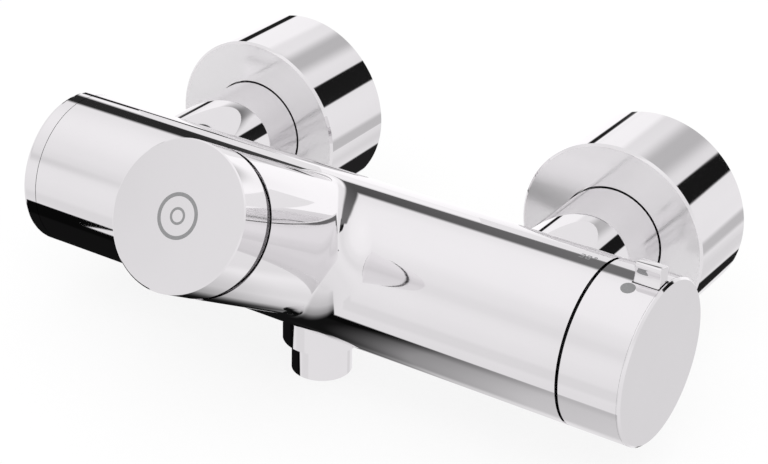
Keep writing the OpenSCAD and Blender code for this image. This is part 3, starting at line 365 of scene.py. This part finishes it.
def make_low_card():
    """A card lying below the valve, dark under the neck and lighter towards the handle."""
    left, right, front, back, level = -0.42, 0.15, -0.37, 0.145, -0.230
    corners = [(x, y, level) for x, y in ((left, front), (right, front), (right, back), (left, back))]

    def paint(g, x, y, z):
        light = g.curve(g.math("MULTIPLY", x, 1 / MM), LOW_CARD, LOW_CARD[0][0], LOW_CARD[-1][0])
        # darker at the front, lighter at the rear, both less so towards the handle
        shade = g.product(g.step(y, -0.265, -0.205, 10.0, 0.0), g.step(x, -0.06, 0.0, 1.0, 0.4))
        rise = g.product(
            g.step(y, -0.060, 0.0, 0.0, 18.0), g.step(x, -0.14, -0.10), g.step(x, -0.07, 0.05, 1.0, 0.4)
        )
        light = g.math("MAXIMUM", g.math("ADD", g.math("SUBTRACT", light, shade), rise), 7.0)
        # the front edge runs further out at the far left, the rear edge fades on the right
        front_place = g.math("ADD", y, g.step(x, -0.30, -0.28, 0.085, 0.0))
        fade = g.product(g.step(x, -0.15, -0.11), g.step(y, 0.030, 0.110))
        share = g.product(
            g.step(front_place, -0.283, -0.271), g.fall(y, 0.115, 0.140), g.math("SUBTRACT", 1.0, fade),
            g.fall(x, 0.10, 0.15), g.step(x, -0.42, -0.39),
        )
        return share, g.studio_strength(light)

    add_card("low_card", corners, [(0, 1, 2, 3)], paint)


def make_light_cards():
    """Two light cards over the rosettes' front edges, which the spigots show in the dark card's place."""
    place, low, high = -0.0345, 0.036, 0.053

    def paint(g, x, y, z):
        return None, studio_light(0.89)

    for name, left, right in (("light_card_hot", -0.125, -0.040), ("light_card_cold", 0.028, 0.112)):
        corners = [(x, place, z) for x, z in ((left, low), (right, low), (right, high), (left, high))]
        add_card(name, corners, [(0, 1, 2, 3)], paint)


def make_lamp():
    """A soft box for plain surfaces. No reflection shows it."""
    data = bpy.data.lights.new("softbox", "AREA")
    data.shape = "RECTANGLE"
    data.size = 0.9
    data.size_y = 0.6
    data.energy = 3.0
    lamp = add_object("softbox", data)
    lamp.location = (0.3, -0.7, 0.9)
    lamp.rotation_mode = "QUATERNION"
    lamp.rotation_quaternion = Vector((0.3, -0.6, 0.9)).to_track_quat("Z", "Y")
    lamp.visible_glossy = False


# ---------- materials ----------

# Where the haze's noise mostly lies
HAZE_LOW, HAZE_HIGH = 0.3, 0.7
# A finish with satin faces has them where the normal's y is from edge to flat, and is part diffuse there
FACE_EDGE, FACE_FLAT, FACE_METALLIC = -0.9, -0.98, 0.6


def surface(name):
    """A new material with its graph, its shader and the place on the object."""
    made, g = new_material(name)
    shader = g.node("ShaderNodeBsdfPrincipled")
    g.output("ShaderNodeOutputMaterial", shader.outputs[0])
    return made, g, shader, g.node("ShaderNodeTexCoord").outputs["Object"]


def bump(g, shader, height, strength, distance):
    made = g.node("ShaderNodeBump")
    made.inputs["Strength"].default_value = strength
    made.inputs["Distance"].default_value = distance
    g.feed(made.inputs["Height"], height)
    g.feed(shader.inputs["Normal"], made.outputs[0])


def metal(name, dark, light, rough_low, rough_high, grain, strength, face_rough=None):
    """Metal with a fine haze. With face_rough, its faces towards the front are satin and part diffuse."""
    made, g, shader, place = surface(name)
    shader.inputs["Metallic"].default_value = 1.0
    haze = g.noise(grain, detail=4.0, rough=0.55, place=place)
    g.feed(shader.inputs["Base Color"], g.mix(haze, (*dark, 1), (*light, 1)))
    rough = g.step(haze, HAZE_LOW, HAZE_HIGH, rough_low, rough_high, "LINEAR")
    if face_rough is not None:
        across, along, up = g.split(g.node("ShaderNodeTexCoord").outputs["Normal"])
        rough = g.math("MAXIMUM", rough, g.step(along, FACE_FLAT, FACE_EDGE, face_rough, 0.0))
        g.feed(shader.inputs["Metallic"], g.step(along, FACE_FLAT, FACE_EDGE, FACE_METALLIC, 1.0))
    g.feed(shader.inputs["Roughness"], rough)
    bump(g, shader, g.noise(grain * 9, detail=2.0, rough=0.5, place=place), strength, distance=0.0001)
    return made


def moulded(name, dark, light, rough_low, rough_high, grain, strength):
    """Rubber, plastic or print with a fine grain."""
    made, g, shader, place = surface(name)
    haze = g.noise(grain, detail=4.0, rough=0.6, place=place)
    g.feed(shader.inputs["Base Color"], g.mix(haze, (*dark, 1), (*light, 1)))
    g.feed(shader.inputs["Roughness"], g.step(haze, HAZE_LOW, HAZE_HIGH, rough_low, rough_high, "LINEAR"))
    bump(g, shader, g.noise(grain * 12, detail=3.0, rough=0.6, place=place), strength, distance=0.0002)
    return made


def make_materials():
    """The finishes: dark and light colour, roughness from and to, grain of the haze, strength of the bump."""
    chrome = ((0.835, 0.825, 0.835), (0.87, 0.86, 0.87), 0.02, 0.05, 45, 0.01)
    return {
        "chrome": metal("chrome", *chrome),
        "brass": metal("brass", (0.66, 0.50, 0.24), (0.78, 0.63, 0.34), 0.18, 0.34, 180, 0.10),
        "steel": metal("steel", (0.50, 0.50, 0.52), (0.68, 0.68, 0.70), 0.20, 0.36, 260, 0.12),
        "rubber": moulded("rubber", (0.018, 0.018, 0.020), (0.035, 0.035, 0.037), 0.62, 0.80, 320, 0.25),
        "white_plastic": moulded(
            "white_plastic", (0.74, 0.74, 0.70), (0.82, 0.82, 0.79), 0.38, 0.50, 220, 0.12
        ),
        "dark_plastic": moulded(
            "dark_plastic", (0.035, 0.036, 0.040), (0.06, 0.06, 0.066), 0.40, 0.55, 260, 0.15
        ),
        "rosette": metal("rosette", *chrome, face_rough=0.13),
        # the guide's sleeve: chrome painted dark grey as painted shade of the gap under the push button
        "sleeve": metal("sleeve", (0.20, 0.195, 0.20), (0.27, 0.265, 0.27), 0.16, 0.24, 160, 0.04),
        "print": moulded("print", (0.20, 0.20, 0.205), (0.26, 0.26, 0.265), 0.45, 0.60, 900, 0.10),
    }


# The rosettes' front faces are satin, and the sleeve in the gap below the push button is painted dark: its
# dark metal colour is painted shade of the gap
OWN_FINISH = {"hot_rosette": "rosette", "cold_rosette": "rosette", "button_guide": "sleeve"}


def finish_nodes():
    """Every CAD node gets the finish of its material's name, or its own."""
    for node in nodes.values():
        for held in node.material_slots:
            name = held.material.name.split(".")[0]
            held.material = finishes[OWN_FINISH.get(node.name, name)]


# ---------- pieces over the CAD nodes ----------

# A point nearer than this to a cylinder counts as lying on it
ON_SURFACE = 0.00002
# The blend's points are all further than this along the neck
BLEND_START = 0.010


def to_frame(p):
    """A point of the neck's own frame, with z out along the neck, in the row's frame."""
    c, s = math.cos(TILT), math.sin(TILT)
    return (p[0], BAR_Y + p[1] * c - p[2] * s, p[1] * s + p[2] * c)


def blend_ring(t, steps):
    """Points and normals of the blend at angle t round the neck, on a ball that touches neck and bar."""
    a, b = NECK_R + BALL_R, BAR_R + BALL_R
    w = a * math.sin(t)
    centre = Vector((a * math.cos(t), w, math.sqrt(b * b - w * w)))
    neck = Vector((-math.cos(t), -math.sin(t), 0))
    bar = -Vector((0, centre.y, centre.z)).normalized()
    whole = math.acos(neck.dot(bar))
    ring = []
    for k in range(steps + 1):
        f = k / steps
        way = (math.sin((1 - f) * whole) * neck + math.sin(f * whole) * bar) / math.sin(whole)
        ring.append((centre + BALL_R * way, -way))
    return ring


def from_surfaces(co):
    """How far a point lies outside the bar and outside the neck, and how far along the neck."""
    place = co - Vector((0, BAR_Y, 0))
    along = place.dot(Vector(NECK_WAY))
    return math.hypot(place.y, place.z) - BAR_R, (place - along * Vector(NECK_WAY)).length - NECK_R, along


def is_facet(spots):
    """Whether a face is of the blend: no corner inside a cylinder, and its middle outside both."""
    for spot in spots:
        bar, neck, along = from_surfaces(spot)
        if along <= BLEND_START or bar <= -ON_SURFACE or neck <= -ON_SURFACE:
            return False
    bar, neck, along = from_surfaces(sum(spots, Vector()) / len(spots))
    return bar > ON_SURFACE and neck > ON_SURFACE


def make_body_skin():
    """The valve body with its faceted blend changed for a smooth one."""
    source = nodes["valve_body"].data
    points = [tuple(vertex.co) for vertex in source.vertices]
    faces = []
    normals = []
    for face in source.polygons:
        if not is_facet([source.vertices[v].co for v in face.vertices]):
            faces.append(tuple(face.vertices))
            normals.extend(tuple(source.corner_normals[c].vector) for c in face.loop_indices)
    print("blend facets left out:", len(source.polygons) - len(faces))
    # the smooth blend: places round the neck, each with steps from neck to bar
    places, steps = 360, 24
    base = len(points)
    ways = []
    for i in range(places):
        for point, way in blend_ring(2 * math.pi * i / places, steps):
            points.append(to_frame(point))
            turned = Vector(to_frame(way)) - Vector(to_frame((0, 0, 0)))
            ways.append(tuple(turned.normalized()))
    ring = steps + 1
    for i in range(places):
        n = (i + 1) % places
        for k in range(steps):
            corners = (i * ring + k, i * ring + k + 1, n * ring + k + 1, n * ring + k)
            faces.append(tuple(base + c for c in corners))
            normals.extend(ways[c] for c in corners)
    mesh = bpy.data.meshes.new("valve_body_skin")
    mesh.from_pydata(points, [], faces)
    mesh.polygons.foreach_set("use_smooth", [True] * len(mesh.polygons))
    mesh.update()
    mesh.normals_split_custom_set(normals)
    made = add_object("valve_body_skin", mesh)
    mesh.materials.append(finishes["chrome"])
    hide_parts("valve_body")
    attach(made, "valve")


def tab_section():
    """The thumb tab's section in mm: across the tab (front is minus) and height over the bar's middle."""
    front = [(-3.0, 24.0), (-3.0, 27.4)]
    hollow = [(-2.98 + 0.62 * math.sin(math.pi * k / 14), 27.6 + 4.9 * k / 14) for k in range(15)]
    lip_turns = [math.radians(a) for a in range(10, 86, 8)]
    lip = [(-2.0 - 0.98 * math.cos(a), 32.9 + 1.1 * math.sin(a)) for a in lip_turns]
    crown = [(-1.9 + 3.6 * k / 10, 34.0 - 0.75 * (k / 10) ** 1.5) for k in range(11)]
    rear_turns = [math.radians(a) for a in range(10, 91, 10)]
    rear = [(1.75 + 1.25 * math.sin(a), 32.0 + 1.25 * math.cos(a)) for a in rear_turns]
    return front + hollow + lip + crown + rear + [(3.0, 28.0), (3.0, 24.0)]


def make_tab_skin():
    """The thumb tab with its soft lip, hollowed front and rounded ends."""
    left, right, middle, foot, top, half = 116.3, 125.0, -97.8, 24.0, 34.1, 3.0
    # each end is rounded in rows: how far in from the end, and how far the section is pulled in there
    rounding = ((0.0, 0.42), (0.05, 0.24), (0.18, 0.09), (0.45, 0.0))
    rows_at = [(left + inset, pull) for inset, pull in rounding]
    rows_at += [(right - inset, pull) for inset, pull in reversed(rounding)]
    section = tab_section()
    work = bmesh.new()
    rows = []
    for x, pull in rows_at:
        wide, tall = 1 - pull / half, 1 - pull / (top - foot)
        rows.append([
            work.verts.new((x * MM, (middle + across * wide) * MM, (foot + (height - foot) * tall) * MM))
            for across, height in section
        ])
    for a, b in zip(rows, rows[1:]):
        for k in range(len(section)):
            n = (k + 1) % len(section)
            face = work.faces.new((a[k], a[n], b[n], b[k]))
            face.smooth = True
    for row in (rows[0], rows[-1]):
        work.faces.new(row)
    bmesh.ops.recalc_face_normals(work, faces=work.faces)
    mesh = bpy.data.meshes.new("stop_button_skin")
    work.to_mesh(mesh)
    work.free()
    made = add_object("stop_button_skin", mesh)
    mesh.materials.append(finishes["chrome"])
    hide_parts("stop_button")
    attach(made, "stop_tab")


# Springs that shorten as a joint moves: node, body, joint, way from the fixed end to the free one
# and travel in mm
SPRINGS = (
    ("hot_check_spring", "valve", "hot_check_open", (0, 1, 0), 3.0),
    ("cold_check_spring", "valve", "cold_check_open", (0, 1, 0), 3.0),
    ("return_spring", "valve", "spool_slide", (1, 0, 0), 1.0),
    ("stop_button_spring", "handle", "stop_press", (0, 0, 1), 2.2),
    ("timing_spring", "valve", "button_press", NECK_WAY, 2.0),
)


def make_springs():
    """Steel copies of the springs, each attached to its body."""
    for name, body, joint, way, travel in SPRINGS:
        made = add_object(name + "_coil", nodes[name].data.copy())
        made.data.materials.clear()
        made.data.materials.append(finishes["steel"])
        way = Vector(way)
        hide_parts(name)
        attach(made, body)
        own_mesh(made)


# ---------- marks ----------

# Print stands this far out of its surface and reaches as far into it, in mm
PRINT_LIFT = 0.02
# The push button's face, in mm along the neck from the bar's axis
BUTTON_FACE = 88.5
# Strokes of a numeral on a grid one wide and two high, and the strokes each numeral has
STROKES = {
    "top": (0, 2, 1, 2), "middle": (0, 1, 1, 1), "foot": (0, 0, 1, 0), "left_high": (0, 1, 0, 2),
    "left_low": (0, 0, 0, 1), "right_high": (1, 1, 1, 2), "right_low": (1, 0, 1, 1),
}
NUMERALS = {"3": ("top", "middle", "foot", "right_high", "right_low"), "8": tuple(STROKES)}
# From one numeral to the next, in widths of a numeral
NUMERAL_SPACING = 1.9


def make_marks(name, shapes, place, body):
    """Flat printed shapes, each a list of its outline's points in mm, laid by place(u, v, lift)."""
    work = bmesh.new()
    for shape in shapes:
        top = [work.verts.new(place(u, v, PRINT_LIFT)) for u, v in shape]
        foot = [work.verts.new(place(u, v, -PRINT_LIFT)) for u, v in shape]
        work.faces.new(top)
        for k in range(len(shape)):
            n = (k + 1) % len(shape)
            work.faces.new((top[k], foot[k], foot[n], top[n]))
    bmesh.ops.remove_doubles(work, verts=work.verts, dist=1e-7)
    mesh = bpy.data.meshes.new(name)
    work.to_mesh(mesh)
    work.free()
    made = add_object(name, mesh)
    mesh.materials.append(finishes["print"])
    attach(made, body)


def on_circle(radius, turn):
    return (radius * math.cos(turn), radius * math.sin(turn))


def ring_cells(inner, outer, count, rows=1):
    """A ring, or a disc when inner is 0, in rows of count cells."""
    cells = []
    for row in range(rows):
        r0 = inner + (outer - inner) * row / rows
        r1 = inner + (outer - inner) * (row + 1) / rows
        for k in range(count):
            a, b = 2 * math.pi * k / count, 2 * math.pi * (k + 1) / count
            near = [on_circle(r0, b), on_circle(r0, a)] if r0 > 0 else [(0.0, 0.0)]
            cells.append([on_circle(r1, a), on_circle(r1, b)] + near)
    return cells


def numeral_shapes(word, wide, line):
    """Numerals of strokes with pointed ends, as wide as given and with lines that thick, in mm."""
    shapes = []
    for spot, sign in enumerate(word):
        start = spot * wide * NUMERAL_SPACING
        for name in NUMERALS[sign]:
            x0, y0, x1, y1 = (value * wide for value in STROKES[name])
            # along the stroke and across it
            dx, dy = (line / 2, 0.0) if x1 > x0 else (0.0, line / 2)
            nx, ny = dy, dx
            shapes.append([
                (start + x0 + nx, y0 + ny), (start + x0 - dx, y0 - dy), (start + x0 - nx, y0 - ny),
                (start + x1 - nx, y1 - ny), (start + x1 + dx, y1 + dy), (start + x1 + nx, y1 + ny),
            ])
    return shapes


def on_button(u, v, lift):
    """A place on the push button's face."""
    return to_frame((u * MM, v * MM, (BUTTON_FACE + lift) * MM))


def on_round(middle, angle):
    """Places on the round of bar or handle, about x in mm and an angle in degrees up from the front."""
    def place(u, v, lift):
        turn = math.radians(angle) + v * MM / BAR_R
        r = BAR_R + lift * MM
        return ((middle + u) * MM, BAR_Y - r * math.cos(turn), r * math.sin(turn))
    return place


def make_all_marks():
    """The push button's two rings, the handle's dot, and a plain number with its degree sign. Sizes in mm."""
    rings = ring_cells(6.0, 7.2, 96) + ring_cells(1.9, 2.7, 48)
    make_marks("button_rings", rings, on_button, "button")
    make_marks("temperature_dot", ring_cells(0.0, 2.35, 40, 5), on_round(116.3, 74.6), "handle")
    make_marks("scale_numerals", numeral_shapes("38", 1.15, 0.34), on_round(95.5, 90.0), "valve")
    make_marks("scale_degree", ring_cells(0.28, 0.56, 20), on_round(100.3, 94.6), "valve")


make_camera()
make_world()
make_floor()
make_card()
make_low_card()
make_light_cards()
make_lamp()
finishes = make_materials()
finish_nodes()
make_body_skin()
make_tab_skin()
make_springs()
make_all_marks()

scene.view_settings.view_transform = "Standard"
